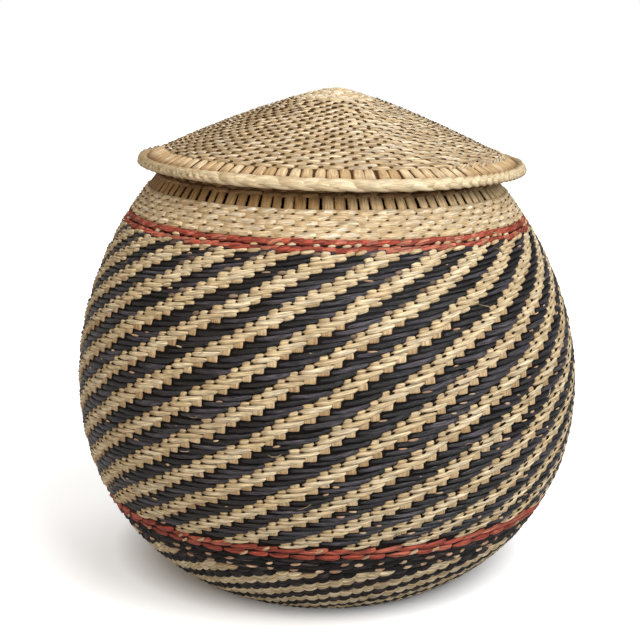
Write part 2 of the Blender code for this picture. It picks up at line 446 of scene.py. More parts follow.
def lay(name, face, straws, look, slot_name, *nodes, inward=False):
    """One piece of all the straws in a list, each bent along the face at its place."""
    shape = straws.shape
    get = straws.column
    x, y, z = (shape.points[:, axis][None, :] for axis in range(3))
    along = x * get("length")
    across = y * get("width")
    leaning = across + get("rise") * x + get("bow") * (1 - 4 * x * x)
    upright = get("upright") > 0.5
    side = np.where(upright, leaning, along)
    up = np.where(upright, along, leaning)
    base_run = get("run")
    angle = get("angle") + side / np.maximum(face.radius_at(base_run), MM)
    height = get("out") + z * get("depth") - get("roll") * y
    if inward:
        height = -face.wall - height
    angle, run = face.wander(angle, base_run + up)
    places = face.place(angle, run, height)
    # Painted shade: each straw is darkened where it comes out from under its neighbour, for longer than where it
    # goes in, and a little along its edges
    tip = np.clip((np.abs(x - 0.1) * 2 - 0.62) / 0.58, 0, 1)
    edge = 0.45 * np.clip((np.abs(y) * 2 - 0.6) / 0.4, 0, 1)
    tip = np.maximum(tip, edge) + 0 * base_run
    # Its grain is cut from a place of its own on the map, which is 400 mm wide
    seeds = dice.random((len(base_run), 2)) * 400
    grain = np.stack((along / MM + seeds[:, :1], across / MM + seeds[:, 1:]), axis=-1)
    tones = np.broadcast_to(get("tone"), tip.shape)
    build(name, face.body_name, places, shape, grain, tones, tip, look, slot_name, *nodes, flip=inward)


def build(name, body_name, places, shape, grain, tones, painted_shade, look, slot_name, *nodes, flip=False):
    """One piece from copies of a shape: places and grain are (copies, points, values)."""
    copies, points = places.shape[:2]
    corners = shape.corners[None, :] + points * np.arange(copies)[:, None]
    sizes = np.tile(shape.sizes, copies)
    mesh = bpy.data.meshes.new(name)
    mesh.vertices.add(copies * points)
    mesh.vertices.foreach_set("co", places.ravel())
    mesh.loops.add(corners.size)
    mesh.loops.foreach_set("vertex_index", corners.ravel())
    mesh.polygons.add(len(sizes))
    mesh.polygons.foreach_set("loop_start", np.concatenate(([0], np.cumsum(sizes)[:-1])))
    mesh.update(calc_edges=True)
    if flip:
        mesh.flip_normals()
        corners = np.zeros(len(mesh.loops), dtype=int)
        mesh.loops.foreach_get("vertex_index", corners)
    grain_map = mesh.uv_layers.new(name="grain")
    grain_map.uv.foreach_set("vector", grain.reshape(-1, 2)[corners.ravel()].ravel())
    # The tip attribute carries that painted shade at each straw's ends and edges
    for label, values in (("tone", tones), ("tip", painted_shade)):
        mesh.attributes.new(label, "FLOAT", "POINT").data.foreach_set("value", values.ravel())
    mesh.validate()
    mesh.shade_smooth()
    mesh.materials.append(look)
    piece = bpy.data.objects.new(name, mesh)
    bpy.context.scene.collection.objects.link(piece)
    belongs(piece, body_name, slot_name, *nodes)


def turned(name, face, low, high, outer, inner, look, slot_name, *nodes):
    """A closed shell turned between two runs and two depths below the face."""
    runs = np.linspace(low, high, SHELL_STEPS)
    deselect_all()
    bpy.ops.mesh.primitive_circle_add(vertices=2 * SHELL_STEPS, radius=1)
    piece = bpy.context.active_object
    piece.name = name
    radius, height = face.section(np.concatenate((runs, runs[::-1])), np.repeat((-outer, -inner), SHELL_STEPS))
    for vertex, across, up in zip(piece.data.vertices, radius, height):
        vertex.co = (across, 0, up)
    start_editing()
    bpy.ops.mesh.spin(steps=SHELL_TURNS, angle=math.tau, center=(0, 0, 0), axis=(0, 0, 1))
    bpy.ops.mesh.select_all(action="SELECT")
    bpy.ops.mesh.remove_doubles(threshold=0.01 * MM)
    stop_editing()
    x, y, z = np.array([vertex.co for vertex in piece.data.vertices]).T
    piece.data.vertices.foreach_set("co", face.settle(x, y, z).ravel())
    piece.data.shade_smooth()
    piece.data.materials.append(look)
    belongs(piece, face.body_name, slot_name, *nodes)


# Finishes

def linear(hex_colour):
    """An sRGB hex colour as the linear values that Blender's sockets take."""
    values = [int(hex_colour[place:place + 2], 16) / 255 for place in (1, 3, 5)]
    return [v / 12.92 if v <= 0.04045 else ((v + 0.055) / 1.055) ** 2.4 for v in values] + [1.0]


def add(tree, kind, inputs=None, **settings):
    """Adds a node with its settings. An input is a value, a socket, or a node, for its first output."""
    node = tree.nodes.new("ShaderNode" + kind)
    for setting, value in settings.items():
        setattr(node, setting, value)
    for socket, value in (inputs or {}).items():
        if isinstance(value, bpy.types.Node):
            value = value.outputs[0]
        if isinstance(value, bpy.types.NodeSocket):
            tree.links.new(value, node.inputs[socket])
        else:
            node.inputs[socket].default_value = value
    return node


def straw_finish(name, dark, middle, light, stain_and_shade, streak=0.6, stain_share=0.3, tip_shade=0.6,
                 roughness=0.58, specular=0.4, relief=0.2):
    """A dried plant straw: streaks along it, straws of different tone, stained blotches, and painted shade at its
    ends and edges.

    dark, middle and light are its tones from straw to straw. Its stain colour is that of its blotches and also of
    the painted shade at its ends and edges, which tip_shade makes stronger. relief is how high its fibres stand,
    in millimetres.
    """
    look = bpy.data.materials.new(name)
    look.use_nodes = True
    tree = look.node_tree
    shader = tree.nodes["Principled BSDF"]
    grain = add(tree, "UVMap", uv_map="grain")
    tone, tip = (add(tree, "Attribute", attribute_name=label).outputs["Fac"] for label in ("tone", "tip"))
    place = add(tree, "TexCoord").outputs["Object"]

    # Fibres about 0.7 mm wide and 9 mm long, the grain map being in millimetres, and folds about 2 mm wide
    fibres, folds = (add(tree, "Mapping", {"Vector": grain, "Scale": scale})
                     for scale in ((0.11, 1.4, 1.0), (0.05, 0.52, 1.0)))
    # Blotches about 25 mm across over the whole basket, and specks of about 1.5 mm
    noises = ((fibres, 1.0, 3.0, 0.6), (folds, 1.0, 1.0, 0.5), (place, 42.0, 3.0, 0.55), (place, 620.0, 2.0, 0.5))
    fibre, fold, blotch, speck = (
        add(tree, "TexNoise", {"Vector": where, "Scale": scale, "Detail": detail, "Roughness": rough})
        for where, scale, detail, rough in noises)
    # Each noise, its values from and to, and what they are turned into
    ranges = ((fibre, 0.36, 0.66, 1 - streak, 1 + 0.3 * streak),
              (fold, 0.34, 0.62, 1 - 0.5 * streak, 1.0),
              (blotch, 0.45, 0.68, 0.0, stain_share),
              (speck, 0.6, 0.7, 0.0, 0.6 * stain_share),
              (fibre, 0.0, 1.0, roughness + 0.12, roughness - 0.12))
    streaks, creases, blotches, specks, gloss = (
        add(tree, "MapRange", {"Value": noise, "From Min": low, "From Max": high, "To Min": first, "To Max": last})
        for noise, low, high, first, last in ranges)

    tones = add(tree, "ValToRGB", {"Fac": tone})
    tones.color_ramp.elements[0].color = linear(dark)
    tones.color_ramp.elements[1].color = linear(light)
    tones.color_ramp.elements.new(0.45).color = linear(middle)
    shade = add(tree, "Math", {0: streaks, 1: creases}, operation="MULTIPLY")
    streaked = add(tree, "VectorMath", {0: tones, "Scale": shade}, operation="SCALE")
    # Painted shade: the tip attribute darkens each straw's ends and edges towards its stain colour, as far as
    # tip_shade says
    ends = add(tree, "Math", {0: tip, 1: tip_shade}, operation="MULTIPLY")
    stains = add(tree, "Math", {0: blotches, 1: specks}, operation="MAXIMUM")
    stains_and_shade = add(tree, "Math", {0: stains, 1: ends}, operation="MAXIMUM")
    colour = add(tree, "Mix", {0: stains_and_shade, 6: streaked, 7: linear(stain_and_shade)}, data_type="RGBA").outputs[2]
    height = add(tree, "Math", {0: fibre, 1: fold}, operation="ADD")
    bump = add(tree, "Bump", {"Height": height, "Distance": relief * MM, "Strength": 1.0})
    tree.links.new(colour, shader.inputs["Base Color"])
    tree.links.new(gloss.outputs[0], shader.inputs["Roughness"])
    tree.links.new(bump.outputs[0], shader.inputs["Normal"])
    shader.inputs["Specular IOR Level"].default_value = specular
    return look


# Dried rush, split by hand and laid damp: it gives the eye fine fibres, creases and a slightly uneven tone
dried_rush = straw_finish("dried_rush", "#C8AC7E", "#DEC79C", "#ECDAB6", "#7C5730", stain_share=0.25)
# The same rush, browner with painted shade, for the border that lies in the shade of the lid
border_shade_rush = straw_finish("border_shade_rush", "#7A5A36", "#946E44", "#AE8A5C", "#443018", stain_share=0.4)
# The same rush where dye and dirt have crept into it: duller and pinker
stained_rush = straw_finish("stained_rush", "#A88262", "#CCA480", "#DEC09C", "#5C4030", stain_share=0.4)
# Rush dyed black, darkest at its ends and edges with painted shade, and with a soft grey sheen along its crown.
# Its lighter, bluish grey tones are partly straw-to-straw tone and partly painted sheen
black_rush = straw_finish("black_dyed_rush", "#100D0E", "#262224", "#5C565E", "#060404", streak=0.95,
                          stain_share=0.35, tip_shade=0.95, roughness=0.34, specular=0.4, relief=1.0)
# The same low on the basket, where it has stood and been dragged: matt and without sheen, with painted
# shade at its ends and edges
worn_black_rush = straw_finish("worn_black_rush", "#1A1615", "#302B2A", "#544C4A", "#080605", streak=0.95,
                               tip_shade=0.8, roughness=0.6, specular=0.15, relief=0.8)
# Lighter, greyish brown ends of some black straws
grey_end_rush = straw_finish("grey_end_black_rush", "#5E4A3C", "#836C58", "#A48C74", "#2A201A", stain_share=0.4,
                          specular=0.3)
# Rush dyed red and faded: matt, brick red to rose
red_rush = straw_finish("red_dyed_rush", "#96402B", "#C65740", "#E09474", "#5E2416", streak=0.85,
                        stain_share=0.35, roughness=0.6, specular=0.3, relief=0.5)
# Rush of the lid, left in the light: greyer, with painted shade in its creases
weathered_rush = straw_finish("weathered_rush", "#CFB48C", "#E0C9A4", "#ECDCBE", "#6E5234", roughness=0.62)
# Its inner rows and the shell under its weave: duller, with painted shade
lid_back_shade_rush = straw_finish("lid_back_shade_rush", "#BCA076", "#D0B68C", "#E2CCA4", "#664A2C", stain_share=0.4, specular=0.2)
# Choice rush of the neck and the lid's tip, little stained: pale gold
golden_rush = straw_finish("golden_rush", "#D8BC8E", "#EAD4AE", "#F4E6CC", "#96703E", stain_share=0.25)
# Painted shade, deep brown: pieces that darken the holes and nicks in the lid's and the neck's weave, and
# the shell behind the lid's stake ends
shaded_lid_rush = straw_finish("shaded_lid_rush", "#4C3218", "#5E4022", "#6E4C2A", "#38240F", stain_share=0.35,
                               specular=0.1)
# Painted shade, nearly black: shells behind the wall's straws, seen only through its gaps, and the nicks in its
# striped rows
shaded_rush = straw_finish("shaded_rush", "#120C08", "#150E09", "#1A120B", "#0A0604", stain_share=0.35,
                           specular=0.1)
# Straw chosen for the braid: pale, smooth and glossier, with painted shade along its rims and where it dives under
# another strand
pale_rush = straw_finish("pale_rush", "#C8B086", "#D8C49C", "#E4D3B0", "#785226", streak=0.35, roughness=0.48)
# Split cane: straight grain, satin, with painted shade at its ends and along its edges
split_cane = straw_finish("split_cane", "#B49468", "#CCAE82", "#DCC298", "#74522C", streak=0.5, roughness=0.55)
# The same under the lid's edge, with painted shade: from brown to pale
shaded_cane = straw_finish("shaded_cane", "#8E6A3C", "#B28C58", "#E4C696", "#553A1E", streak=0.5, roughness=0.55)
# The same on the lid, bleached by the light
golden_cane = straw_finish("golden_split_cane", "#C2A070", "#D6B88A", "#E6CDA4", "#80592E", streak=0.45,
                           roughness=0.5)


# The body, from the ground up

def make_base():
    """Plain rows under the base, and the stakes crossing at its middle."""
    weave, start = Straws("lens"), Straws("lens")
    for row, run, pitch in rows(BASE_START_RADIUS, BASE_RADIUS, BASE_ROWS):
        count, wide = stitches(run, 9 * MM)
        weave.add((ring(count, 2.4 * row), 0.1 / count), run, (-0.3 * MM, 0.2 * MM), 1.04 * wide, pitch, 2.6 * MM)
    lay("base_weave_rows", body, weave, worn_black_rush, "black_weft", "base_weave")
    for row, run, pitch in rows(0.0, BASE_START_RADIUS, BASE_START_ROWS):
        count, wide = stitches(run, 7 * MM)
        start.add(ring(count, 1.7 * row), run, -0.3 * MM, 1.04 * wide, pitch, 2.6 * MM)
    lay("base_start_rows", body, start, dried_rush, "straw_weft", "base_start")


def make_foot():
    """Chains of short stitches, three of straw and then three black, each row a stake further round."""
    straw, black = Straws("scale"), Straws("scale")
    stake = math.tau / FOOT_STAKES
    is_straw = np.arange(FOOT_STAKES) % 6 < 3
    for row, run, pitch in rows(foot_top, BASE_RADIUS, FOOT_ROWS):
        angles = ring(FOOT_STAKES, FOOT_PHASE + (0.5 - row) * stake)
        wide = stake * body.radius_at(run)
        for kind, chosen in ((straw, is_straw), (black, ~is_straw)):
            kind.add((angles[chosen], 0.16 * stake), (run, 0.5 * MM), (0, 0.5 * MM), 1.46 * wide,
                     (1.42 * pitch, 0.2), 3.2 * MM, rise=0.8 * pitch, bow=-0.45 * pitch, roll=2.2 * MM)
    lay("foot_straw", body, straw, dried_rush, "straw_weft", "foot_weave")
    lay("foot_black", body, black, worn_black_rush, "black_weft", "foot_weave")


def make_flecked_band():
    """Four black rows. Straw shows through as two broken rows of flecks."""
    black, flecks = Straws("rope"), Straws("lens")
    stake = math.tau / BELLY_STAKES
    count = BELLY_STAKES // 2
    for row, run, pitch in rows(foot_top, flecked_top, FLECKED_ROWS):
        wide = 2 * stake * body.radius_at(run)
        black.add((ring(count, row * stake), 0.3 * stake), (run, 0.5 * MM), (0, 0.5 * MM), 1.25 * wide,
                  (pitch, 0.2), 3.2 * MM, rise=(0.45 * pitch, 0.3 * pitch))
    for below in FLECKS_BELOW:
        flecks.add((some(ring(count, stake), 0.9), 0.9 * stake), (flecked_top - below, 1.2 * MM),
                   (0.3 * MM, 0.3 * MM), (6.6 * MM, 0.5), (2.9 * MM, 0.4), 2 * MM, rise=(0.6 * MM, 1 * MM))
    lay("flecked_band_rows", body, black, worn_black_rush, "black_weft", "flecked_band")
    lay("flecked_band_flecks", body, flecks, stained_rush, "straw_weft", "flecked_band")


def make_lower_red():
    """Two rows like a chain. The upper one's stitches climb and leave dark corners under them."""
    placed = rows(flecked_top - 0.2 * MM, stripes_low - 1.8 * MM, 2)
    red, flecks = Straws("wedge"), Straws("blunt")
    step = math.tau / RED_STITCHES
    for row, run, pitch in placed:
        first, length, rise = ((0.0, 1.06, 0.16), (0.42, 1.3, 0.66))[row]
        red.add((ring(RED_STITCHES, first * step), 0.1 * step), (run, 0.5 * MM), (0.2 * MM, 0.3 * MM),
                length * step * body.radius_at(run), (0.9 * pitch, 0.2), 3.6 * MM,
                rise=(rise * pitch, 0.3 * pitch), bow=-0.08 * pitch, tone=(0.1, 0.6))
    for _, run, _ in placed:
        flecks.add((some(ring(RED_STITCHES, 0.5 * step), 0.2), 0.3 * step), (run, 2 * MM), 0.6 * MM, 6 * MM,
                   2.4 * MM, 2.2 * MM, rise=3 * MM)
    lay("lower_red_rows", body, red, red_rush, "red_weft", "lower_red_band")
    lay("lower_red_flecks", body, flecks, stained_rush, "straw_weft", "lower_red_band")


def make_upper_red():
    """Two rows like ropes, with tan flecks and dark nicks between them."""
    placed = rows(stripes_high + 0.2 * MM, neck_low + 0.6 * MM, 2)
    red, flecks = Straws("rope"), Straws("lens")
    step = math.tau / RED_STITCHES
    for row, run, pitch in placed:
        wide = step * body.radius_at(run)
        for part, out in ((0, 0.2 * MM), (0.5, 0.0)):
            red.add((ring(RED_STITCHES, (0.5 * row + part) * step), 0.2 * step), (run, 0.5 * MM), (out, 0.4 * MM),
                    0.92 * wide, (0.86 * pitch, 0.2), 3.4 * MM, rise=(0.3 * pitch, 0.3 * pitch),
                    bow=-0.06 * pitch, tone=(0.1, 0.8))
    # More flecks show on the right
    places = ring(round(1.6 * RED_STITCHES), 0.3 * step)
    places = some(places, 0.4 + 0.4 * (np.sin(places) > -0.1))
    flecks.add((places, 0.3 * step), ((placed[0][1] + placed[1][1]) / 2, 0.8 * MM), (0.1 * MM, 0.6 * MM),
               (5.4 * MM, 0.4), 2.2 * MM, 2.2 * MM, rise=0.5 * MM)
    lay("upper_red_rows", body, red, red_rush, "red_weft", "upper_red_band")
    lay("upper_red_flecks", body, flecks, dried_rush, "straw_weft", "upper_red_band")


def make_striped_wall():
    """Rows in which straw and black take turns every five stakes, each row a stake further left than the last.

    Rows are laid from the top. Places are counted in stakes from one that shows bare, and in rows from its
    middle. A straw comes up to it from the left, with a short one over its left end and a dark nick of painted
    shade beside that, and a long black straw climbs away on the right.
    """
    straw, short, black = Straws("leaf"), Straws("blunt"), Straws("rope")
    stakes, flecks, grey_ended, nick_shades = Straws("block"), Straws("lens"), Straws("lens"), Straws("seed")
    stake = math.tau / BELLY_STAKES
    repeats = BELLY_STAKES // 5
    for row, middle, pitch in rows(stripes_high + 1.4 * MM, stripes_low - 0.2 * MM, STRIPED_ROWS, swell=0.1):
        start = ring(repeats, STRIPE_PHASE - row * stake) + jitter(repeats, 0.18 * stake)
        run = middle + jitter(repeats, 0.14 * pitch)
        wide = stake * body.radius_at(run)
        # The uppermost rows are packed tighter: their short straws are plump and no stake shows
        tight = max(0.0, 1 - row / TIGHT_ROWS)
        # Low on the right the straws are thinner and laid more loosely, with slanting gaps
        loose = np.clip(1.2 * np.sin(start), 0, 1) * min(1, row / LOOSENING_ROWS)
        straw.add(start - 1.52 * stake, run - 0.42 * pitch, (0.3 * MM, 0.3 * MM),
                  (2.42 * wide, 0.8 * loose / 2.42), ((0.9 - 0.003 * row - 0.14 * loose) * pitch, 0.18), 3.1 * MM,
                  rise=((0.66 + 0.14 * loose) * pitch, (0.2 + 0.6 * loose) * pitch), bow=-0.06 * pitch,
                  tone=(0.25, 0.75))
        nick_shades.add(start - 1.6 * stake, run + 0.06 * pitch, 0.2 * MM,
                  ((2.2 - 1.1 * tight + 1.9 * loose) * MM, 0.8), ((1.1 - 0.5 * tight + 0.4 * loose) * MM, 0.8),
                  NICK_DEPTH, rise=1.8 * MM * loose)
        short.add(start - 2.1 * stake, (run - (0.02 - 0.06 * tight) * pitch, 0.12 * pitch),
                  ((0.6 * tight - 0.3) * MM, 0.4 * MM), ((0.8 + 0.2 * tight) * wide, 0.24),
                  ((0.8 + 0.26 * tight) * pitch, 0.2), 2.8 * MM, rise=0.12 * pitch, tone=(0.3 * tight, 0.4))
        if row < SHORT_ROWS:
            short.add(start + 0.05 * stake, run + 0.2 * pitch, (-0.2 * MM, 0.4 * MM), (1.05 * wide, 0.2),
                      (0.7 * pitch, 0.2), 2.6 * MM, rise=(0.3 * pitch, 0.3 * pitch), tone=(0, 0.6))
        else:
            stakes.add(start, run + 0.22 * pitch, (-0.6 * MM, 0.4 * MM), (0.94 * pitch, 0.1), (0.78 * wide, 0.16),
                       2.4 * MM, rise=(0, 1 * MM), upright=1.0)
        # The top row's black straws climb less, under the red ones, and a straw lies over each
        climb = 0.88 if row else 0.45
        black.add(start + 2 * stake, (run + (0.16 + 0.5 * climb) * pitch, 0.12 * pitch), (0.1 * MM, 0.4 * MM),
                  3.42 * wide, ((0.82 - 0.08 * tight) * pitch, 0.28), 3.6 * MM,
                  rise=(climb * pitch, (0.26 + 0.5 * loose) * pitch), bow=-0.22 * pitch)
        if row == 0:
            straw.add(start + 1.25 * stake, run + 0.3 * pitch, 0.5 * MM, 1.3 * wide, 0.8 * pitch, 3.1 * MM,
                      rise=0.25 * pitch)
        # Some black straws near the top show a lighter, greyish brown end, but not far on the right
        seen = (dice.random(repeats) < 0.5 * tight) & (np.sin(start) < 0.3) & (row > 0)
        grey_ended.add(start[seen] + 3.2 * stake, run[seen] + 0.86 * pitch, 0.5 * MM, 5.6 * MM, 2.8 * MM, 1.6 * MM,
                  rise=0.8 * MM)
        # Straw shows between black straws, mostly low on the right
        seen = dice.random(repeats) < 0.1 + 0.35 * loose
        flecks.add((start[seen] + 0.95 * stake, 0.7 * stake), (run[seen] - 0.28 * pitch, -0.3 * pitch), -0.2 * MM,
                   (5.2 * MM, 0.6), (1.4 * MM, 0.6), 1.4 * MM, rise=(0.4 * MM, 1.2 * MM))
    kinds = (("straw", straw, dried_rush, "straw_weft"), ("short_straw", short, dried_rush, "straw_weft"),
             ("black", black, black_rush, "black_weft"), ("stakes", stakes, split_cane, "bare_stake"),
             ("grey_ends", grey_ended, grey_end_rush, "black_weft"), ("nick_shades", nick_shades, shaded_rush, "straw_weft"),
             ("flecks", flecks, stained_rush, "straw_weft"))
    for name, straws, look, slot_name in kinds:
        lay("striped_wall_" + name, body, straws, look, slot_name, "striped_wall")


def make_neck_weave():
    """Five open straw rows over back rows whose duller tone is painted shade, with nicks of painted shade
    between them.
    """
    weave, over, nick_shades = Straws("blunt"), Straws("rope"), Straws("lens")
    step = math.tau / NECK_STITCHES
    for row, run, pitch in rows(neck_low + 0.3 * MM, neck_top, NECK_ROWS):
        wide = step * body.radius_at(run)
        places = ring(NECK_STITCHES, 0.5 * row * step) + jitter(NECK_STITCHES, 0.16 * step)
        weave.add(places, (run, 0.3 * MM), (0.1 * MM, 0.2 * MM), 1.06 * wide, (1.14 * pitch, 0.1), 3 * MM,
                  rise=0.2 * pitch, tone=(0.1, 0.5))
        over.add((places + 0.06 * step, 0.1 * step), (run - 0.05 * pitch, 0.3 * MM), (0.3 * MM, 0.3 * MM),
                 ((0.9 - 0.05 * row) * wide, 0.4), (0.7 * pitch, 0.3), 3 * MM,
                 rise=(0.3 * pitch, 0.3 * pitch))
        nick_shades.add(places + 0.46 * step, run - 0.4 * pitch, 0.2 * MM, (2.4 * MM, 0.8), (0.9 * MM, 0.6), NICK_DEPTH,
                  rise=0.3 * MM)
    return weave, over, nick_shades


def make_bare_stakes():
    """Stakes that stand bare over the neck, with slits between them that are wider at the sides and behind."""
    bare = Straws("strip")
    middle = (neck_top + border_low) / 2
    step = math.tau / NECK_STAKES
    places = ring(NECK_STAKES)
    slits = (0.5 + 1.0 * (1 - np.cos(places)) + 0.3 * (places > math.pi)) * MM
    wide = step * body.radius_at(middle) - slits
    # Painted light and shade: each stake's tone is pale on the right and brown on the left
    bare.add((places, 0.1 * step), middle, (-0.7 * MM, 0.5 * MM), BARE_STAKE_LENGTH + 5 * MM,
             (wide, 0.5 * MM / wide), 2 * MM, rise=(0, 0.8 * MM), tone=(0.47 + 0.42 * np.sin(places), 0.3),
             upright=1.0)
    return bare


def make_border():
    """The rows that bind the stakes' tops, and the stitches along the mouth."""
    border = Straws("rope")
    step = math.tau / NECK_STITCHES
    lowest = (-1, border_low - 1.6 * MM, 3.8 * MM)
    for row, run, pitch in [lowest] + rows(border_low, body.length - 1.2 * MM, BORDER_ROWS):
        border.add((ring(NECK_STITCHES, 0.5 * (row + 1) * step), 0.14 * step), run, (0, 0.3 * MM),
                   1.12 * step * body.radius_at(run), 1.04 * pitch, 2.8 * MM, rise=0.2 * pitch)
    border.add((ring(BORDER_TOP_STITCHES), 0.01), body.length - 2.4 * MM, -0.5 * MM, 9.5 * MM, 4.4 * MM, 3.9 * MM,
               rise=0.8 * MM)
    return border


def make_neck():
    """The neck's weave, its bare stakes and the border of the mouth."""
    weave, over, nick_shades = make_neck_weave()
    bare = make_bare_stakes()
    border = make_border()
    lay("neck_weave_rows", body, over, golden_rush, "straw_weft", "neck_weave")
    lay("neck_weave_nick_shades", body, nick_shades, shaded_lid_rush, "straw_weft", "neck_weave")
    lay("neck_weave_back_rows", body, weave, golden_rush, "straw_weft", "neck_weave")
    turned("neck_backing", body, neck_low, neck_top, 0.9 * MM, 2.2 * MM, dried_rush, "straw_weft", "neck_weave")
    lay("neck_bare_stakes", body, bare, shaded_cane, "bare_stake", "neck_stakes")
    # The border's browner colour is painted shade from the lid
    lay("mouth_border_rows", body, border, border_shade_rush, "straw_weft", "mouth_border")


def make_inside():
    """The inside of the weave, with the stripes as the two straws change places, and nearly black shells of
    painted shade between.
    """
    straw, black = Straws("seed"), Straws("seed")
    for low, high, count in ((5 * MM, neck_top, INSIDE_ROWS), (border_low, body.length - 1 * MM, BORDER_ROWS)):
        for row, run, pitch in rows(low, high, count):
            radius = body.radius_at(run)
            # Groups of five stitches, fewer of them on the base
            around = INSIDE_STITCHES if radius > 70 * MM else max(5, 5 * round(radius / (6.4 * MM)))
            step = math.tau / around
            angles = ring(around, -0.7 * row * step)
            striped = stripes_low < run < stripes_high or run < foot_top
            is_black = (np.arange(around) % 5 < 2) & striped
            for kind, chosen in ((straw, ~is_black), (black, is_black)):
                kind.add(angles[chosen], run, (0, 0.3 * MM), 1.05 * step * radius, pitch, 2.2 * MM)
    lay("inside_straw", body, straw, dried_rush, "straw_weft", inward=True)
    lay("inside_black", body, black, black_rush, "black_weft", inward=True)
    for name, low, high in (("wall_shell", 0.0, neck_top), ("border_shell", border_low, body.length - 1.5 * MM)):
        turned(name, body, low, high, 1.5 * MM, 3 * MM, shaded_rush, "straw_weft")


def make_fibres():
    """A few thin fibres that have come loose and lie across the weave."""
    fibres = Straws("strip")
    fibres.add(math.tau * dice.random(LOOSE_FIBRES),
               stripes_low + (neck_top - stripes_low) * dice.random(LOOSE_FIBRES), 0.9 * MM, (7 * MM, 6 / 7),
               0.34 * MM, 0.3 * MM, rise=(0, 10 * MM), bow=(0, 5 * MM))
    lay("loose_fibres", body, fibres, dried_rush, "straw_weft")


make_base()
make_foot()
make_flecked_band()
make_lower_red()
make_striped_wall()
make_upper_red()
make_neck()
make_fibres()
make_inside()


# The lid

def make_lid_weave():
    """Open rows over back rows whose duller finish is painted shade, with holes between the stitches that
    pieces of painted shade darken. On the right they slant down and the holes close.
    """
    weave, over, hole_shades = Straws("pinched"), Straws("rope"), Straws("seed")
    placed = rows(lid_weave_low, lid_start_low, LID_ROWS)
    for row, run, pitch in placed:
        radius = lid.radius_at(run)
        count = next(count for least, count in LID_STITCHES if radius > least)
        step = math.tau / count
        wide = step * radius
        places = ring(count, 0.5 * (row % 2) * step) + jitter(count, 0.16 * step)
        shut = np.clip(2 * np.sin(places), 0, 1)
        weave.add(places, (run, 0.5 * MM), (-0.3 * MM, 0.4 * MM), 1.08 * wide, (1.16 * pitch, 0.16), 2.6 * MM,
                  rise=((0.2 - 0.7 * shut) * pitch, 0.3 * pitch), tone=(0, 0.4))
        longer = 0.94 + 0.4 * shut
        over.add((places, 0.1 * step), (run, 0.7 * MM), (0.2 * MM, 0.5 * MM), (longer * wide, 0.2 / longer),
                 ((0.72 - 0.06 * shut) * pitch, 0.4), 3 * MM,
                 rise=((0.4 - 1.25 * shut) * pitch, 0.5 * pitch), bow=(0, 0.3 * pitch), tone=(0.2, 0.8))
        hole_shades.add(places + 0.52 * step, run, (0.3 * MM * shut, 0.4 * MM), ((3.3 - 0.1 * shut) * MM, 0.5),
                  ((2.0 - 0.4 * shut) * MM, 0.4), NICK_DEPTH, rise=(0.9 - 2.2 * shut) * MM)
    # On the right its outer straws lie across the stakes
    over.add((ring(120)[14:40], 0.02), (placed[0][1] - 3.4 * MM, 1.6 * MM), 1 * MM, (9 * MM, 4 / 9), 2 * MM,
             2.4 * MM, rise=(3.5 * MM, 3 * MM))
    return weave, over, hole_shades


def make_lid():
    """The lid's weave, the golden rows at its tip, the shells of painted shade inside it and its underside."""
    weave, over, hole_shades = make_lid_weave()
    start, under = Straws("blunt"), Straws("seed")
    for row, run, pitch in rows(lid_start_low, lid.length, LID_START_ROWS):
        count, wide = stitches(lid.radius_at(run), 9 * MM)
        start.add((ring(count, 1.9 * row), 0.1 / count), run, (0, 0.4 * MM), 1.06 * wide, 1.04 * pitch, 2.4 * MM,
                  rise=(0, 0.3 * pitch))
    lay("lid_weave_rows", lid, over, weathered_rush, "grey_lid_weft", "lid_weave")
    lay("lid_weave_back_rows", lid, weave, lid_back_shade_rush, "grey_lid_weft", "lid_weave")
    lay("lid_weave_hole_shades", lid, hole_shades, shaded_lid_rush, "grey_lid_weft", "lid_weave")
    lay("lid_start_rows", lid, start, golden_rush, "bare_stake", "lid_start")
    # Shells of painted shade under the weave, seen through its holes and between the stake ends
    turned("lid_shell", lid, lid_weave_low, lid.length, 1 * MM, 2.7 * MM, lid_back_shade_rush, "grey_lid_weft")
    turned("lid_edge_shell", lid, 2 * MM, lid_weave_low, 1.2 * MM, 2.7 * MM, shaded_lid_rush, "bare_stake")
    for row, run, pitch in rows(8 * MM, lid.length, UNDERSIDE_ROWS):
        count, wide = stitches(lid.radius_at(run), 14 * MM)
        under.add(ring(count, 1.3 * row), run, (0, 0.2 * MM), 1.04 * wide, pitch, 1.9 * MM)
    lay("lid_underside", lid, under, weathered_rush, "grey_lid_weft", inward=True)


def make_lid_stakes():
    """Stake ends that come out from under the weave and go in under the braid."""
    ends = Straws("stub")
    low, high = lid_weave_low - LID_BARE_STAKE_LENGTH - 6 * MM, lid_weave_low + 0.5 * MM
    middle, long = (low + high) / 2, high - low
    step = math.tau / LID_STAKES
    wide = step * lid.radius_at(middle) - 0.6 * MM
    ends.add((ring(LID_STAKES), 0.14 * step), middle, (-0.1 * MM, 0.4 * MM), (long, 2.5 * MM / long),
             (wide, 0.8 * MM / wide), 2.2 * MM, rise=(0, 1.6 * MM), upright=1.0)
    lay("lid_stake_ends", lid, ends, golden_cane, "bare_stake", "lid_stakes")


def tightness(angle):
    """How tight the braid is at angles from the front, from 0 to 1."""
    share = np.clip((np.abs(angle) - BRAID_LOOSE) / BRAID_CHANGE, 0, 1)
    return share * share * (3 - 2 * share) * np.where(angle < 0, 1, RIGHT_TIGHTNESS)


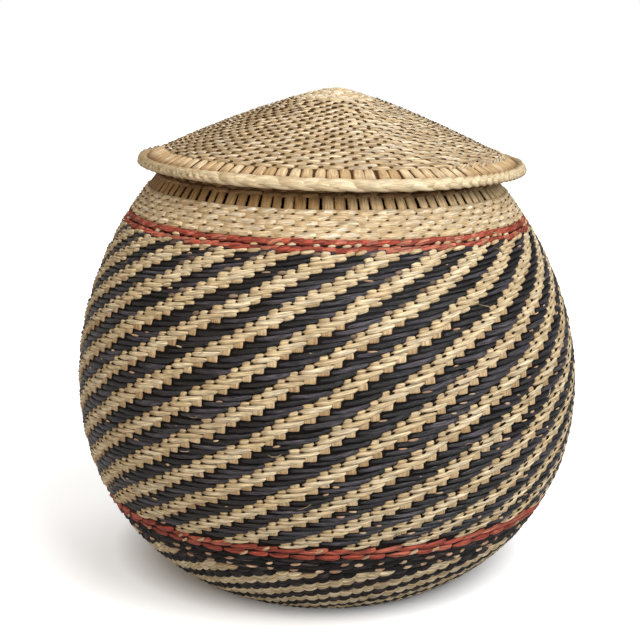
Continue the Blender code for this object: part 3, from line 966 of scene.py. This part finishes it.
def make_braid():
    """Three strands plaited round the lid's edge, broad and long in front, thin and tight at the sides."""
    deselect_all()
    bpy.ops.mesh.primitive_torus_add(major_segments=BRAID_STEPS, minor_segments=10, major_radius=1,
                                     minor_radius=0.25)
    strand = Shape(bpy.context.active_object)
    x, y, z = strand.points.T
    round_lid = np.arctan2(x, -y)
    round_strand = np.arctan2(z, np.hypot(x, y) - 1)
    steps = np.linspace(-math.pi, math.pi, 4 * BRAID_STEPS + 1)
    so_far = np.cumsum(1 + TIGHT_TURNS * tightness(steps))
    turns = math.tau * BRAID_TURNS * np.interp(round_lid, steps, so_far / (so_far[-1] - so_far[0]))
    tight = tightness(round_lid)
    edge_radius, edge_height = lid.section(0.0, -LID_WALL / 2)
    radius = edge_radius + BRAID_DIAMETER / 2 * math.cos(LID_SLOPE) + 0.7 * MM
    height = edge_height - BRAID_DIAMETER / 2 * math.sin(LID_SLOPE)

    def round_edge(out, up):
        return lid.settle(out * np.sin(round_lid), -out * np.cos(round_lid), up)

    places, grains, edges = [], [], []
    for number in range(3):
        phase = turns + number * math.tau / 3
        wide = BRAID_SWING * (1 + 0.9 * tight) * np.sin(phase)
        wide = wide + (1 - 0.36 * tight) * STRAND_WIDTH / 2 * np.cos(round_strand)
        deep = (0.6 + 0.6 * tight) * BRAID_DEPTH * np.sin(2 * phase)
        deep = deep + (1 - 0.3 * tight) * STRAND_THICKNESS / 2 * np.sin(round_strand)
        out = radius + deep * math.cos(BRAID_LEAN) - wide * math.sin(BRAID_LEAN)
        up = height + deep * math.sin(BRAID_LEAN) + wide * math.cos(BRAID_LEAN)
        places.append(round_edge(out, up))
        # Painted shade: a strand is darkened along its rims and where it dives under another
        rim_shade = np.clip((np.abs(np.cos(round_strand)) - 0.62) / 0.3, 0, 1) * (0.55 + 0.6 * tight)
        dive_shade = np.clip(-1.4 * np.sin(2 * phase) - 0.1, 0, 1) * (0.2 + 0.8 * tight)
        edges.append(np.clip(np.maximum(rim_shade, dive_shade), 0, 1))
        grains.append(np.stack((round_lid * radius / MM, round_strand * STRAND_WIDTH / 2 / MM + 40 * number), -1))
    places, grains, edges = np.array(places), np.array(grains), np.array(edges)
    tones = np.repeat([[0.35], [0.6], [0.8]], len(x), axis=1)
    build("lid_braid_strands", "lid", places, strand, grains, tones, edges, pale_rush, "braid_straw", "lid_braid")
    # A thin strand inside the plait, that closes it against the stakes' ends, in a colour of painted shade
    core = round_edge(radius - CORE_IN + CORE_WIDTH / 2 * np.sin(round_strand),
                      height + CORE_UP + CORE_HEIGHT / 2 * np.cos(round_strand))[None]
    build("lid_braid_core", "lid", core, strand, grains[:1], 0.5 + 0 * tones[:1], 0 * edges[:1], shaded_cane,
          "bare_stake")


make_lid()
make_lid_stakes()
make_braid()


# The room, the light and the camera

def lamp(name, place, power, size, colour="#FFFFFF"):
    """A soft lamp that points at the middle of the basket."""
    deselect_all()
    bpy.ops.object.light_add(type="AREA", location=place)
    light = bpy.context.active_object
    light.name = name
    light.data.energy = power
    light.data.size = size
    light.data.color = linear(colour)[:3]
    aim = Vector(BASKET_MIDDLE) - Vector(place)
    light.rotation_euler = aim.to_track_quat("-Z", "Y").to_euler()


def white_floor():
    """White paper: matt. For the camera it glows white far off, and its glow fades out towards the middle of a
    painted shadow, left of the basket and behind it.

    It throws less light back on the basket than the camera sees, so that the foot stays dark.
    """
    look = bpy.data.materials.new("white_paper")
    look.use_nodes = True
    tree = look.node_tree
    tree.nodes.remove(tree.nodes["Principled BSDF"])
    paper, dull_paper = (add(tree, "BsdfDiffuse", {"Color": linear(colour)}) for colour in ("#F4F4F4", "#D0D0D0"))
    place = add(tree, "TexCoord").outputs["Object"]
    away = add(tree, "VectorMath", {0: place, 1: PAINTED_SHADOW_MIDDLE}, operation="DISTANCE").outputs["Value"]
    ramp = add(tree, "ValToRGB", {"Fac": away})
    marks = ramp.color_ramp.elements
    marks[0].position, marks[1].position = FLOOR_GLOW[0][0], FLOOR_GLOW[-1][0]
    for distance, bright in FLOOR_GLOW[1:-1]:
        marks.new(distance).color = (bright, bright, bright, 1)
    # Painted shadow: the glow is weakest near the middle of the shadow
    shadow_shaped_glow = add(tree, "Emission", {"Color": ramp, "Strength": 1.0})
    seen = add(tree, "LightPath").outputs["Is Camera Ray"]
    both = add(tree, "AddShader", {0: paper, 1: shadow_shaped_glow})
    mixed = add(tree, "MixShader", {"Fac": seen, 1: dull_paper, 2: both}).outputs["Shader"]
    tree.links.new(mixed, tree.nodes["Material Output"].inputs["Surface"])
    deselect_all()
    bpy.ops.mesh.primitive_plane_add(size=8)
    floor = bpy.context.active_object
    floor.name = "floor"
    floor.data.materials.append(look)


def white_world():
    """White behind everything for the camera, and a weaker even light on the basket."""
    world = bpy.data.worlds.new("white_room")
    bpy.context.scene.world = world
    world.use_nodes = True
    tree = world.node_tree
    seen = add(tree, "LightPath").outputs["Is Camera Ray"]
    strength = add(tree, "MapRange", {"Value": seen, "To Min": ROOM_LIGHT, "To Max": 1.0}).outputs["Result"]
    background = tree.nodes["Background"]
    tree.links.new(strength, background.inputs["Strength"])
    background.inputs["Color"].default_value = linear("#FFFFFF")


def make_camera():
    """At the photograph's distance and height, looking down a little."""
    bpy.ops.object.camera_add(location=(0, -1.0196, 0.4097), rotation=(math.radians(77.504), 0, 0))
    camera = bpy.context.active_object
    camera.data.lens = 82.91
    camera.data.shift_x = -0.0109
    bpy.context.scene.camera = camera


white_floor()
white_world()
lamp("key", (0.8, -1.2, 1.3), power=39.0, size=1.1)
lamp("fill", (-1.3, -0.9, 0.8), power=7.5, size=1.0, colour="#FFE8CC")
lamp("top", (0.2, 0.0, 1.7), power=8.0, size=0.9)
make_camera()
bpy.context.scene.view_settings.view_transform = "Standard"
